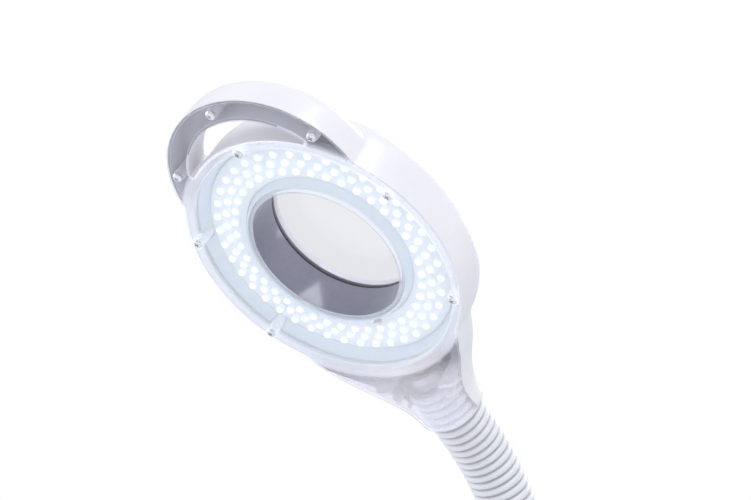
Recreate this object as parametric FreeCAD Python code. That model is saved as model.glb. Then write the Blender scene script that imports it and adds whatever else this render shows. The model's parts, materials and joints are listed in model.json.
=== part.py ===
import FreeCAD, Part
import math
import os
from FreeCAD import Placement, Rotation, Vector

# ---------------------------------------------------------------------------
# Driving dimensions, in millimetres and degrees.
# The base stands on z = 0 with the gooseneck rising on the Z axis, and the head
# reaches towards -Y.  The head is drawn flat in its own axes: z = 0 is the front
# plane of its clear cover, the light shines towards -z, the neck leaves along +y
# and the handle loop points along -y.
# ---------------------------------------------------------------------------
# head
HEAD_PITCH = 38.2          # the head's plane above the horizontal
HOUSING_R = 86.0           # round housing
COVER_R = 85.2             # clear front cover
COVER_T = 2.0              # thickness of the clear cover
MOUTH_R = 46.0             # opening in the middle of the cover
RECESS_R = 81.0            # step ring on the cover's face
PAD_Z = 5.3                # back of the cover's screw pads
WALL = 2.3                 # housing wall
WALL_TOP = 20.0            # where the side wall starts to round over
REAR_Z = 37.0              # rear face of the housing beside the lens barrel
CLEAR = 0.3                # free space between neighbouring curved faces

# handle loop
LOOP_Y = -52.5             # centre of the loop's arc
LOOP_R = 62.5              # outside radius of the loop
LOOP_BAND = 12.5           # width of the loop
LOOP_TOP = 27.5            # depth of the loop

# neck of the head: (y, half width, rear height)
NECK_SECTIONS = [(58, 60, 32), (72, 53.5, 34.5), (85, 45.5, 37), (97, 37, 39),
                 (110, 29, 39.8), (123, 23, 40), (141, 18.9, 40)]
NECK_AXIS_Z = 21.0         # gooseneck axis behind the cover plane
NECK_INSIDE_Y = 106.0      # how far in the gooseneck reaches

# lens
LENS_R = 50.0
LENS_EDGE = 2.2
LENS_SURFACE_R = 347.0     # radius of both faces, about three dioptres
LENS_Z = 36.1              # middle of the lens edge
BARREL_T = 1.8

# light ring
LED_ROWS = (58.3, 64.1, 69.9)
LEDS_PER_ROW = 40
LED_R = 2.5
LED_TIP_Z = 9.0
BOARD_Z = 13.2             # face of the LED board
BOARD_T = 1.6
BOARD_SCREWS = (0, 117, 243)   # angles from the handle, midway between two lamps of the middle row

# screws in the cover, as (radius, angle from the handle) about the head's centre
RING_SCREWS = [(80.3, 0), (80.3, 66), (80.3, 120), (80.3, -120), (80.3, -66)]
HANDLE_SCREWS = [(106.6, 0), (93.2, 34), (93.2, -34)]
BOSS_R = 4.2               # bosses of the ring screws, which run into the side wall

# gooseneck
SLEEVE_R = 16.0            # over the ribs
VALLEY_R = 14.4
SLEEVE_BORE = 12.5
RIB = 4.8                  # rib pitch
RIBS_PER_LINK = 9
BEND_R = 165.0             # bend below the head
BALL_R = 7.0
BALL_FIT = 0.05
CUP_R = 9.5
ROD_R = 4.5
WIRE_BORE = 2.6
LINKS = 7                  # links between the base stub and the head stub
BEND_START_Z = 252.0       # height where the bend starts

# base
BASE_R = 105.0
PAD_T = 1.5
PLATE_T = 2.0
WEIGHT_T = 14.5            # thick middle of the iron weight
WEIGHT_EDGE_T = 10.8
COVER_TOP_Z = 27.0
SOCKET_TOP_Z = 52.0

RIB_STEP = RIB * RIBS_PER_LINK
X, Y, Z = Vector(1, 0, 0), Vector(0, 1, 0), Vector(0, 0, 1)

os.makedirs("parts", exist_ok=True)


# ---------------------------------------------------------------------------
# Helpers
# ---------------------------------------------------------------------------
def profile(path, plane="xz"):
    """Closed wire. An entry is a point, or a pair (mid point, end point) for an arc."""
    def place(p):
        return Vector(p[0], 0, p[1]) if plane == "xz" else Vector(p[0], p[1], 0)

    edges = []
    start = place(path[0])
    here = start
    for entry in path[1:] + [path[0]]:
        if isinstance(entry[0], tuple):
            mid, end = place(entry[0]), place(entry[1])
            edges.append(Part.Arc(here, mid, end).toShape())
            here = end
        else:
            end = place(entry)
            if (end - here).Length > 1e-6:
                edges.append(Part.LineSegment(here, end).toShape())
            here = end
    return Part.Wire(edges)


def turned(path, angle=360.0):
    """Solid of revolution about Z from an (r, z) profile."""
    return Part.Face(profile(path)).revolve(Vector(), Z, angle)


def ring(r_in, r_out, z0, z1):
    """Plain tube about Z."""
    return turned([(r_in, z0), (r_out, z0), (r_out, z1), (r_in, z1)])


def rod(r, z0, z1, x=0.0, y=0.0):
    """Plain cylinder parallel to Z."""
    return Part.makeCylinder(r, z1 - z0, Vector(x, y, z0))


def block(x0, x1, y0, y1, z0, z1):
    return Part.makeBox(x1 - x0, y1 - y0, z1 - z0, Vector(x0, y0, z0))


def polar(r, angle):
    """Point at an angle from the handle direction, -y, in the head's own axes."""
    a = math.radians(angle)
    return r * math.sin(a), -r * math.cos(a)


def moved(shape, vector):
    copy = shape.copy()
    copy.translate(vector)
    return copy


def joined(shapes):
    out = shapes[0]
    for shape in shapes[1:]:
        out = out.fuse(shape)
    return out


def fused(shapes):
    """Joined, with the seams between faces that run on into each other removed."""
    return joined(shapes).removeSplitter()


def save(name, shape, placement=None):
    """Write one sub-part; a group of loose solids is written as a compound."""
    out = shape.copy()
    if placement is not None:
        out.Placement = placement.multiply(out.Placement)
    out.exportStep("parts/" + name + ".step")
    print(f"{name:18s} solids {len(out.Solids):3d}  volume {out.Volume / 1000:9.2f} cm3  valid {out.isValid()}")


# ---------------------------------------------------------------------------
# Gooseneck path in the YZ plane
# ---------------------------------------------------------------------------
BEND_ANGLE = math.radians(90.0 - HEAD_PITCH)
BEND_END = Vector(0, -BEND_R * (1 - math.cos(BEND_ANGLE)), BEND_START_Z + BEND_R * math.sin(BEND_ANGLE))
NECK_DIRECTION = Vector(0, -math.sin(BEND_ANGLE), math.cos(BEND_ANGLE))
HEAD_NECK_END = NECK_SECTIONS[-1][0]
STUB_OUT = 14.0            # straight run between the last joint and the head's neck
BEND_END_S = BEND_START_Z - SOCKET_TOP_Z + BEND_R * BEND_ANGLE


def path_point(s):
    """Point of the gooseneck's centre line at a length s above the socket."""
    straight = BEND_START_Z - SOCKET_TOP_Z
    if s <= straight:
        return Vector(0, 0, SOCKET_TOP_Z + s)
    a = (s - straight) / BEND_R
    return Vector(0, -BEND_R * (1 - math.cos(a)), BEND_START_Z + BEND_R * math.sin(a))


JOINTS = [path_point(BEND_END_S - RIB_STEP * (LINKS - k)) for k in range(LINKS + 1)]

# The head's axes: y runs back along the neck, z is the rear of the head.
HEAD_TURN = Rotation(X, -HEAD_PITCH)
HEAD_CENTRE = BEND_END - HEAD_TURN.multVec(Vector(0, HEAD_NECK_END + STUB_OUT, NECK_AXIS_Z))
HEAD = Placement(HEAD_CENTRE, HEAD_TURN)
print("head centre", HEAD_CENTRE)
print("joints", [tuple(round(c, 2) for c in p) for p in JOINTS])


def along(start, end):
    """Placement that lays a shape drawn on Z from start towards end."""
    return Placement(start, Rotation(Z, end - start))


# ---------------------------------------------------------------------------
# Head: housing
# ---------------------------------------------------------------------------
def head_round(t):
    """Round part of the head as a closed solid, set in by t."""
    low = COVER_T if t == 0 else COVER_T - 5
    r = HOUSING_R - t
    rear = REAR_Z - t
    return turned([(0, low), (r - 0.8, low), (r, WALL_TOP),
                   ((r - 3.0, WALL_TOP + 7.6 - t / 3), (r - 11.0, rear - 3.0)),
                   (LENS_R + 6 - t, rear), (0, rear)])


def head_loop(t):
    """Handle loop as a closed ring with a rounded back, set in by t."""
    low = COVER_T if t == 0 else COVER_T - 5
    inner = LOOP_R - LOOP_BAND + t
    outer = LOOP_R - t
    half = (outer - inner) / 2
    shoulder = LOOP_TOP - LOOP_BAND / 2
    loop = turned([(inner, low), (outer, low), (outer, shoulder),
                   ((inner + half, shoulder + half), (inner, shoulder))])
    loop = moved(loop, Vector(0, LOOP_Y, 0))
    return loop.cut(rod(HOUSING_R - 4, low - 1, REAR_Z + 1))


def head_neck(t):
    """Tapering neck, lofted through rounded sections, set in by t."""
    low = COVER_T if t == 0 else COVER_T - 5
    wires = []
    for y, half, rear in NECK_SECTIONS:
        w, top = half - t, rear - t
        r = min(w - 0.3, 17.5)
        k = r * (1 - math.sqrt(0.5))
        points = [(-w, low), (w, low), (w, top - r), ((w - k, top - k), (w - r, top)),
                  (-w + r, top), ((-w + k, top - k), (-w, top - r))]
        wire = profile(points)
        wires.append(moved(wire, Vector(0, y, 0)))
    return Part.makeLoft(wires, True, False)


def ring_screw_places():
    return [polar(r, a) for r, a in RING_SCREWS]


def handle_screw_places():
    return [polar(r, a) for r, a in HANDLE_SCREWS]


def rear_housing():
    outer = fused([head_round(0), head_loop(0), head_neck(0)])
    inner = fused([head_round(WALL), head_loop(WALL), head_neck(WALL)])
    shell = outer.cut(inner)
    bosses = []
    for x, y in ring_screw_places():
        bosses.append(rod(BOSS_R, PAD_Z + 0.1, 24.0, x, y))
    for x, y in handle_screw_places():
        bosses.append(rod(3.4, COVER_T + 0.1, 24.0, x, y))
    for angle in BOARD_SCREWS:
        x, y = polar(LED_ROWS[1], angle)
        bosses.append(rod(3.2, BOARD_Z + BOARD_T + 1.7, REAR_Z - 2, x, y))
    body = joined([shell] + [boss.common(outer) for boss in bosses])
    # saddle that carries the gooseneck, with three cross ribs
    saddle = []
    for y in (108.5, 121.0, 136.5):
        rib = block(-40, 40, y, y + 2.5, COVER_T + 1, 60).common(outer)
        saddle.append(rib)
    body = joined([body] + saddle)
    cuts = [rod(LENS_R + 2.6, -5, 60)]
    for x, y in ring_screw_places() + handle_screw_places():
        cuts.append(rod(1.25, -1, 18.0, x, y))
    for angle in BOARD_SCREWS:
        x, y = polar(LED_ROWS[1], angle)
        cuts.append(rod(1.0, 8, REAR_Z - 6, x, y))
    bore = Part.makeCylinder(SLEEVE_R + CLEAR, 60, Vector(0, NECK_INSIDE_Y - 3, NECK_AXIS_Z), Y)
    front_slot = block(-SLEEVE_R - CLEAR, SLEEVE_R + CLEAR, NECK_INSIDE_Y - 3, 170, -5, NECK_AXIS_Z)
    cuts += [bore, front_slot]
    cuts.append(switch_pocket())
    for cut in cuts:
        body = body.cut(cut)
    return body


def cover_outline(inset, z0, z1):
    """Prism with the head's front outline."""
    disc = rod(COVER_R - inset, z0, z1)
    loop = rod(LOOP_R - inset, z0, z1, 0, LOOP_Y)
    section = head_neck(0.4 + inset).slice(Z, 3.0)
    neck = Part.Face(section[0]).extrude(Vector(0, 0, z1 - z0))
    neck.translate(Vector(0, 0, z0 - 3.0))
    return fused([disc, loop, neck])


def front_cover():
    plate = cover_outline(0.0, 0.0, COVER_T)
    gap = rod(LOOP_R - LOOP_BAND + 0.4, -10, 60, 0, LOOP_Y).cut(rod(COVER_R, -11, 61))
    plate = plate.cut(gap)
    # dished window in front of the lights, ending in a short collar round the lens bore
    plate = plate.cut(rod(RECESS_R, -1, 10))
    lip = MOUTH_R
    window = turned([(RECESS_R + 1, 0.0), (RECESS_R, 0.0), (RECESS_R - 0.8, 3.0), (lip + 2.5, 5.2),
                     ((lip + 0.6, 5.8), (lip, 7.4)), (lip, 9.4), (lip + 2.2, 9.4), (lip + 2.2, 7.6),
                     (lip + 3.4, 7.2), (RECESS_R - 2.0, 5.2), (RECESS_R + 1, COVER_T)])
    rim = turned([(RECESS_R + 0.2, 0.2), (RECESS_R + 1.0, -0.4), (COVER_R - 1.2, -0.8), (COVER_R, 0.0),
                  (COVER_R, COVER_T), (RECESS_R + 0.2, COVER_T)])
    rim = rim.cut(block(-34, 34, 60, 100, -5, 0.0))
    pads = [rod(4.0, 0.0, PAD_Z, x, y).common(rod(COVER_R - 2.8, -1, 8)) for x, y in ring_screw_places()]
    cover = fused([plate, window, rim] + pads)
    for x, y in ring_screw_places() + handle_screw_places():
        cover = cover.cut(rod(1.75, -5, 10, x, y))
        cover = cover.cut(rod(3.3, -5, 0.6, x, y))
    return cover


def lens_barrel():
    r = MOUTH_R + 0.6
    low = 9.6
    edge = LENS_Z - LENS_EDGE / 2
    return turned([(r, low), (r + BARREL_T, low), (r + BARREL_T, edge - 4.0), (LENS_R + 2.3, edge - 2.0),
                   (LENS_R + 2.3, edge + 7.5), (LENS_R + 0.4, edge + 7.5), (LENS_R + 0.4, edge - 1.3),
                   (r, edge - 1.3)])


def lens_gasket():
    edge = LENS_Z - LENS_EDGE / 2
    return turned([(MOUTH_R + 0.9, edge - 1.25), (LENS_R + 0.1, edge - 1.25), (LENS_R + 0.1, edge - 0.05),
                   (MOUTH_R + 0.9, edge - 0.55)])


def magnifier_lens():
    half = LENS_EDGE / 2
    sag = LENS_SURFACE_R - math.sqrt(LENS_SURFACE_R ** 2 - LENS_R ** 2)
    mid_r = LENS_R / 2
    mid = sag - (LENS_SURFACE_R - math.sqrt(LENS_SURFACE_R ** 2 - mid_r ** 2))
    lens = turned([(0, -half - sag), ((mid_r, -half - mid), (LENS_R, -half)), (LENS_R, half),
                   ((mid_r, half + mid), (0, half + sag))])
    return moved(lens, Vector(0, 0, LENS_Z))


def lens_retainer():
    edge = LENS_Z + LENS_EDGE / 2
    return turned([(LENS_R - 2.6, edge + 0.5), (LENS_R + 0.3, edge + 0.05), (LENS_R + 0.3, edge + 4.4),
                   (LENS_R - 1.4, edge + 5.2), (LENS_R - 2.6, edge + 4.6)])


# ---------------------------------------------------------------------------
# Head: light ring and wiring
# ---------------------------------------------------------------------------
def light_tray():
    """White dish that carries the LED board."""
    back = BOARD_Z + BOARD_T
    return turned([(MOUTH_R + 3.0, 8.2), (MOUTH_R + 4.0, 8.2), (MOUTH_R + 6.0, back), (76.0, back),
                   (79.4, 6.6), (80.4, 6.6), (76.9, back + 1.5), (MOUTH_R + 3.0, back + 1.5)])


def tray_with_holes():
    tray = light_tray()
    for angle in BOARD_SCREWS:
        x, y = polar(LED_ROWS[1], angle)
        tray = tray.cut(rod(1.4, 5, 30, x, y))
    for r, angle in RING_SCREWS:
        x, y = polar(r, angle)
        tray = tray.cut(rod(BOSS_R + 0.3, 0, 30, x, y))
    return tray.cut(rod(2.4, 8, 30, 0, 53.4))


def led_board():
    board = ring(MOUTH_R + 6.4, 75.6, BOARD_Z, BOARD_Z + BOARD_T - 0.02)
    for angle in BOARD_SCREWS:
        x, y = polar(LED_ROWS[1], angle)
        board = board.cut(rod(1.4, 5, 30, x, y))
    return board.cut(rod(2.4, 8, 30, 0, 53.4))


def led():
    """One domed lamp, drawn with its base on z = 0 and its tip at -z."""
    height = BOARD_Z - LED_TIP_Z
    return turned([(0, 0), (LED_R, 0), (LED_R, -(height - LED_R)),
                   ((LED_R * math.sqrt(0.5), -(height - LED_R) - LED_R * math.sqrt(0.5)), (0, -height))])


def leds():
    one = led()
    lamps = []
    for row, r in enumerate(LED_ROWS):
        for i in range(LEDS_PER_ROW):
            x, y = polar(r, (i + 0.5 * (row % 2)) * 360.0 / LEDS_PER_ROW)
            lamps.append(moved(one, Vector(x, y, BOARD_Z - 0.01)))
    return Part.makeCompound(lamps)


def pan_screw(r_shaft, r_head, h_head, length):
    """Cross-head screw: the head is on the -z side of z = 0, the shaft runs to +z."""
    body = turned([(0, length), (0, -h_head), (r_head * 0.55, -h_head), ((r_head * 0.9, -h_head * 0.75), (r_head, 0)),
                   (r_shaft, 0), (r_shaft, length - 1), (r_shaft - 0.6, length)])
    arm = r_head * 0.5
    for angle in (0, 90):
        slot = block(-arm, arm, -0.35, 0.35, -h_head - 1, -h_head * 0.35)
        slot.rotate(Vector(), Z, angle)
        body = body.cut(slot)
    return body


def cover_screws():
    one = pan_screw(1.25, 2.9, 1.5, 13.0)
    return Part.makeCompound([moved(one, Vector(x, y, 0.6)) for x, y in ring_screw_places()])


def handle_screws():
    one = pan_screw(1.25, 2.9, 1.5, 9.0)
    return Part.makeCompound([moved(one, Vector(x, y, 0.6)) for x, y in handle_screw_places()])


def board_screws():
    one = pan_screw(1.0, 2.2, 1.3, 7.0)
    return Part.makeCompound([moved(one, Vector(*polar(LED_ROWS[1], a), BOARD_Z)) for a in BOARD_SCREWS])


def wire_run(points, r, bend):
    """Round wire along straight runs joined by tangent arcs of one radius."""
    edges = []
    here = points[0]
    for before, corner, after in zip(points, points[1:], points[2:]):
        a, b = (corner - before).normalize(), (after - corner).normalize()
        turn = math.acos(max(-1.0, min(1.0, a.dot(b))))
        cut = bend * math.tan(turn / 2)
        p, q = corner - a * cut, corner + b * cut
        inward = (b - a).normalize()
        centre = corner + inward * (bend / math.cos(turn / 2))
        edges.append(Part.LineSegment(here, p).toShape())
        edges.append(Part.Arc(p, centre - inward * bend, q).toShape())
        here = q
    edges.append(Part.LineSegment(here, points[-1]).toShape())
    path = Part.Wire(edges)
    start = points[1] - points[0]
    section = Part.Wire([Part.makeCircle(r, points[0], start)])
    return path.makePipeShell([section], True, True)


def lamp_wire(side):
    """One lead from the gooseneck's core, through the tray's hole, to the LED board."""
    points = [Vector(side * 1.2, 97, NECK_AXIS_Z), Vector(side * 1.2, 84, NECK_AXIS_Z + 1),
              Vector(side * 1.6, 70, 22.5), Vector(side * 1.2, 53.4, 21.0), Vector(side * 1.0, 53.4, 10.4)]
    return wire_run(points, 0.8, 4.0)


# ---------------------------------------------------------------------------
# Head: switch on the rear, between the lens and the neck
# ---------------------------------------------------------------------------
SWITCH_Y = 78.0
SWITCH_W = 9.6             # half length across the head
SWITCH_D = 6.6             # half length along the neck
BEZEL = 1.8                # bezel beyond the body
BEZEL_Z = 35.3             # underside of the bezel
PIVOT_Z = BEZEL_Z + 0.4


def switch_block(grow, z0, z1):
    """Box about the switch's middle, larger than its body by grow on each side."""
    w, d = SWITCH_W + grow, SWITCH_D + grow
    return block(-w, w, SWITCH_Y - d, SWITCH_Y + d, z0, z1)


def switch_pocket():
    return fused([switch_block(0.2, 25, 60), switch_block(BEZEL + 0.1, BEZEL_Z - 0.05, 60)])


def switch_body():
    outer = switch_block(0, 24.0, BEZEL_Z)
    bezel = switch_block(BEZEL, BEZEL_Z, BEZEL_Z + 2.2)
    well = switch_block(-1.4, 29.5, 60)
    pins = fused([block(x - 0.4, x + 0.4, SWITCH_Y - 2, SWITCH_Y + 2, 21.4, 24.2) for x in (-5, 5)])
    body = fused([outer, bezel, pins]).cut(well)
    bore = Part.makeCylinder(1.0 + BALL_FIT, 2 * SWITCH_D - 1.0, Vector(0, SWITCH_Y - SWITCH_D + 0.5, PIVOT_Z), Y)
    return body.cut(bore)


def switch_rocker():
    half = SWITCH_W - 1.9
    path = [(-half, PIVOT_Z - 1.0), (half, PIVOT_Z - 1.0), (half, PIVOT_Z + 2.6),
            ((0, PIVOT_Z + 1.3), (-half, PIVOT_Z + 2.6))]
    depth = 2 * (SWITCH_D - 1.9)
    face = Part.Face(profile(path))
    paddle = moved(face.extrude(Vector(0, depth, 0)), Vector(0, SWITCH_Y - depth / 2, 0))
    pin = Part.makeCylinder(1.0, 2 * SWITCH_D - 1.6, Vector(0, SWITCH_Y - SWITCH_D + 0.8, PIVOT_Z), Y)
    return fused([paddle, pin])


# ---------------------------------------------------------------------------
# Gooseneck
# ---------------------------------------------------------------------------
def sleeve(z0, z1):
    """Ribbed tube; the ribs are counted from z = 0 so that they stay in step."""
    count = round((z1 - z0) / RIB)
    path = [(SLEEVE_BORE, z0), (VALLEY_R, z0)]
    for i in range(count):
        z = z0 + i * RIB
        path += [(VALLEY_R, z + 0.5), ((SLEEVE_R, z + RIB / 2), (VALLEY_R, z + RIB - 0.5)), (VALLEY_R, z + RIB)]
    path += [(SLEEVE_BORE, z0 + count * RIB)]
    return turned(path)


def cup(z):
    """Open spherical seat about z, open towards -z, that just holds the ball."""
    r_in = BALL_R + BALL_FIT
    open_angle = math.radians(12)
    c, s = math.cos(open_angle), math.sin(open_angle)
    k = math.sqrt(0.5)
    return turned([(r_in * c, z - r_in * s), (CUP_R * c, z - CUP_R * s), ((CUP_R * k, z + CUP_R * k), (0, z + CUP_R)),
                   (0, z + r_in), ((r_in * k, z + r_in * k), (r_in * c, z - r_in * s))])


def ball_end(z):
    """Ball at z on a short rod that comes from below."""
    return fused([Part.makeSphere(BALL_R, Vector(0, 0, z)), rod(ROD_R, z - 11, z - 2)])


def bored(core):
    """The core with the wires' channel right through it."""
    return core.cut(rod(WIRE_BORE, -100, 400))


def link_core(length):
    barrel = rod(SLEEVE_BORE - 0.05, CUP_R - 1.0, length - 10.4)
    return bored(fused([cup(0), barrel, ball_end(length)]))


def goosenecks():
    """Save every sleeve and core, from the base's stub to the head's stub."""
    first = JOINTS[0].z
    save("neck_sleeve_base", sleeve(first - RIB * 9, first - RIB))
    foot = rod(SLEEVE_BORE - 0.05, SOCKET_TOP_Z - 22, first - 10.4)
    save("neck_core_base", bored(fused([foot, ball_end(first)])))
    for k in range(LINKS):
        length = (JOINTS[k + 1] - JOINTS[k]).Length
        count = RIBS_PER_LINK - 2
        spare = (length - count * RIB) / 2
        place = along(JOINTS[k], JOINTS[k + 1])
        save(f"neck_sleeve_{k + 1}", sleeve(spare, spare + count * RIB), place)
        save(f"neck_core_{k + 1}", link_core(length), place)
    last = Placement(JOINTS[-1], Rotation(Z, NECK_DIRECTION))
    reach = STUB_OUT + HEAD_NECK_END - NECK_INSIDE_Y
    ribs = int((reach - RIB) / RIB)
    save("neck_sleeve_head", sleeve(RIB, RIB + ribs * RIB), last)
    core_end = reach + 2.0
    barrel = rod(SLEEVE_BORE - 0.05, CUP_R - 1.0, core_end)
    save("neck_core_head", bored(fused([cup(0), barrel])), last)
    save("neck_ferrule", moved(ring(9.0, SLEEVE_BORE, 0, 4.0), Vector(0, 0, core_end + 0.02)), last)
    nut = hex_prism(8.2, 4.5).cut(rod(3.6, -1, 10))
    save("neck_nut", moved(nut, Vector(0, 0, core_end + 4.04)), last)


def hex_prism(radius, height):
    points = [(radius * math.cos(math.radians(60 * i)), radius * math.sin(math.radians(60 * i))) for i in range(6)]
    return Part.Face(profile(points, "xy")).extrude(Vector(0, 0, height))


# ---------------------------------------------------------------------------
# Base
# ---------------------------------------------------------------------------
WEIGHT_Z = PAD_T + PLATE_T
INLET_Z = 13.0
BASE_SCREW_PCD = 150.0


def base_plate():
    plate = rod(BASE_R - 3.2, PAD_T, WEIGHT_Z)
    for i in range(4):
        x, y = polar(BASE_SCREW_PCD / 2, 45 + 90 * i)
        plate = plate.cut(rod(2.2, 0, 10, x, y))
    return plate


def base_weight():
    weight = turned([(15, WEIGHT_Z), (BASE_R - 6, WEIGHT_Z), (BASE_R - 6, WEIGHT_Z + 5),
                     (BASE_R - 12, WEIGHT_Z + WEIGHT_EDGE_T), (74, WEIGHT_Z + WEIGHT_EDGE_T),
                     (66, WEIGHT_Z + WEIGHT_T), (15, WEIGHT_Z + WEIGHT_T)])
    weight = weight.cut(block(-22, 22, 52, 120, WEIGHT_Z + 1.5, 40))
    for i in range(4):
        x, y = polar(BASE_SCREW_PCD / 2, 45 + 90 * i)
        weight = weight.cut(rod(1.9, 0, 13.4, x, y))
    return weight


def base_cover():
    top = COVER_TOP_Z
    outer = [(19.6, PAD_T + 0.3), (BASE_R - 1, PAD_T + 0.3), (BASE_R, PAD_T + 2), (BASE_R, 9.0),
             ((BASE_R - 2.4, 14.0), (BASE_R - 8, 17.0)), ((70, 23.0), (32, top)), ((26, 28.6), (23.6, 32)), (23.6, 36),
             (19.6, 36)]
    t = 2.4
    inner = [(0, -1), (BASE_R - t, -1), (BASE_R - t, 9.0 - 0.6),
             ((BASE_R - 2.0 - t, 13.2 - t), (BASE_R - 8.8, 17.0 - t - 0.2)), ((70, 23.0 - t), (32, top - t)),
             (0, top - t)]
    shell = turned(outer).cut(turned(inner))
    hole = Part.makeCylinder(5.2, 30, Vector(0, BASE_R - 15, INLET_Z), Y)
    return shell.cut(hole)


def base_screws():
    one = pan_screw(1.9, 3.6, 1.2, 9.0)
    flush = []
    for i in range(4):
        flush.append(moved(one, Vector(*polar(BASE_SCREW_PCD / 2, 45 + 90 * i), PAD_T)))
    return Part.makeCompound(flush)


def base_pad():
    pad = rod(BASE_R - 5, 0, PAD_T)
    for i in range(4):
        x, y = polar(BASE_SCREW_PCD / 2, 45 + 90 * i)
        pad = pad.cut(rod(4.2, -1, 10, x, y))
    return pad


def neck_socket():
    """Socket that the foot of the gooseneck stands in."""
    top = SOCKET_TOP_Z
    path = [(SLEEVE_BORE + 0.05, 28.0), (19.4, 28.0), (19.4, 36.2), (23.2, 36.2), (23.2, 38.0),
            ((22.4, 44.0), (19.0, 49.5)), ((18.4, 51.2), (17.0, top)), (SLEEVE_R + 0.2, top),
            (SLEEVE_R + 0.2, 38.0), (SLEEVE_BORE + 0.05, 38.0)]
    return turned(path)


def socket_flange():
    """Steel flange under the cover that ties the socket to the weight."""
    z = WEIGHT_Z + WEIGHT_T
    flange = fused([ring(SLEEVE_BORE + 0.05, 30, z + 0.05, z + 3.0), ring(SLEEVE_BORE + 0.05, 18.6, z + 3.0, 27.9)])
    for i in range(3):
        x, y = polar(25, 120 * i)
        flange = flange.cut(rod(2.1, z - 1, z + 5, x, y))
    return flange


def flange_screws():
    z = WEIGHT_Z + WEIGHT_T + 3.0
    one = pan_screw(2.0, 3.4, 1.6, 2.8)
    one.rotate(Vector(), X, 180)
    return Part.makeCompound([moved(one, Vector(*polar(25, 120 * i), z + 0.02)) for i in range(3)])


def dc_inlet():
    """Round low-voltage inlet in the back of the base, with a centre pin."""
    y = BASE_R + 0.6
    body = Part.makeCylinder(4.9, 14, Vector(0, y - 14, INLET_Z), Y)
    flange = Part.makeCylinder(6.4, 1.4, Vector(0, y, INLET_Z), Y)
    shape = fused([body, flange]).cut(Part.makeCylinder(3.2, 12, Vector(0, y - 8, INLET_Z), Y))
    return fused([shape, Part.makeCylinder(1.0, 8.6, Vector(0, y - 8.4, INLET_Z), Y)])


def driver_board():
    z = WEIGHT_Z + 3.6
    board = block(-18, 18, 56, 88, z, z + 1.6)
    choke = rod(5, z + 1.6, z + 8.0, -8, 66)
    cap = rod(3.2, z + 1.6, z + 9.5, 8, 64)
    chip = block(2, 10, 74, 80, z + 1.6, z + 3.6)
    feet = [rod(2.5, WEIGHT_Z + 1.52, z, x, y) for x in (-14, 14) for y in (60, 84)]
    return fused([board, choke, cap, chip] + feet)


# ---------------------------------------------------------------------------
# Write every sub-part
# ---------------------------------------------------------------------------
save("rear_housing", rear_housing(), HEAD)
save("front_cover", front_cover(), HEAD)
save("lens_barrel", lens_barrel(), HEAD)
save("lens_gasket", lens_gasket(), HEAD)
save("magnifier_lens", magnifier_lens(), HEAD)
save("lens_retainer", lens_retainer(), HEAD)
save("light_tray", tray_with_holes(), HEAD)
save("led_board", led_board(), HEAD)
save("leds", leds(), HEAD)
save("board_screws", board_screws(), HEAD)
save("cover_screws", cover_screws(), HEAD)
save("handle_screws", handle_screws(), HEAD)
save("wire_red", lamp_wire(1), HEAD)
save("wire_black", lamp_wire(-1), HEAD)
save("switch_body", switch_body(), HEAD)
save("switch_rocker", switch_rocker(), HEAD)
goosenecks()
save("base_pad", base_pad())
save("base_plate", base_plate())
save("base_weight", base_weight())
save("base_cover", base_cover())
save("base_screws", base_screws())
save("neck_socket", neck_socket())
save("socket_flange", socket_flange())
save("flange_screws", flange_screws())
save("dc_inlet", dc_inlet())
save("driver_board", driver_board())
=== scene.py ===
import json
import math

import bpy
from mathutils import Matrix, Vector


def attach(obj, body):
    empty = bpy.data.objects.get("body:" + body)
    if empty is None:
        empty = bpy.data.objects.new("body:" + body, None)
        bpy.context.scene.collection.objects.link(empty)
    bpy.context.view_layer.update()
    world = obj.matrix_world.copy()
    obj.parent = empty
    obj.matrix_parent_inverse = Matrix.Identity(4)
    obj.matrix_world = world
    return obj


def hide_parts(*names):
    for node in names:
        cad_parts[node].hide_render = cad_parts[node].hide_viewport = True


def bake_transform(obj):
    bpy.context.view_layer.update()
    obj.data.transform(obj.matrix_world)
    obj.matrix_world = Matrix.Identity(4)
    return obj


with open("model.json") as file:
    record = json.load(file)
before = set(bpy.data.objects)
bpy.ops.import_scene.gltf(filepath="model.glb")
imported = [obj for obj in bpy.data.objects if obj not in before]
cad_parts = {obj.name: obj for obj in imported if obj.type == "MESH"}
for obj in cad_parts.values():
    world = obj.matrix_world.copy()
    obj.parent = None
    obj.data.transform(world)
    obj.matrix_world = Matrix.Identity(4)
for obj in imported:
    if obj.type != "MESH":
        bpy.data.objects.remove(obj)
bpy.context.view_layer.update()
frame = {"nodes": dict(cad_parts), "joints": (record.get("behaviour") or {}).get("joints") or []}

MM = 0.001
MERGE = 0.002 * MM       # points this near to each other become one
TURN = 2 * math.pi
JOINTS = {j["name"]: j for j in frame["joints"]}

# ---------------------------------------------------------------------------
# Axes of the head: y runs along its neck, z points out of its rear
# ---------------------------------------------------------------------------
X = Vector((1, 0, 0))
HEAD_Y = Vector(JOINTS["switch_rock"]["axis"]).normalized()
HEAD_Z = X.cross(HEAD_Y)
NECK_AXIS_Z = 21.0
LAST_JOINT_Y = 155.0
HEAD_CENTRE = (Vector(JOINTS["neck_pitch_8"]["pos_m"])
               - HEAD_Y * LAST_JOINT_Y * MM - HEAD_Z * NECK_AXIS_Z * MM)
HEAD = Matrix.Translation(HEAD_CENTRE) @ Matrix((X, HEAD_Y, HEAD_Z)).transposed().to_4x4()
BASE = Matrix.Identity(4)

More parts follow.
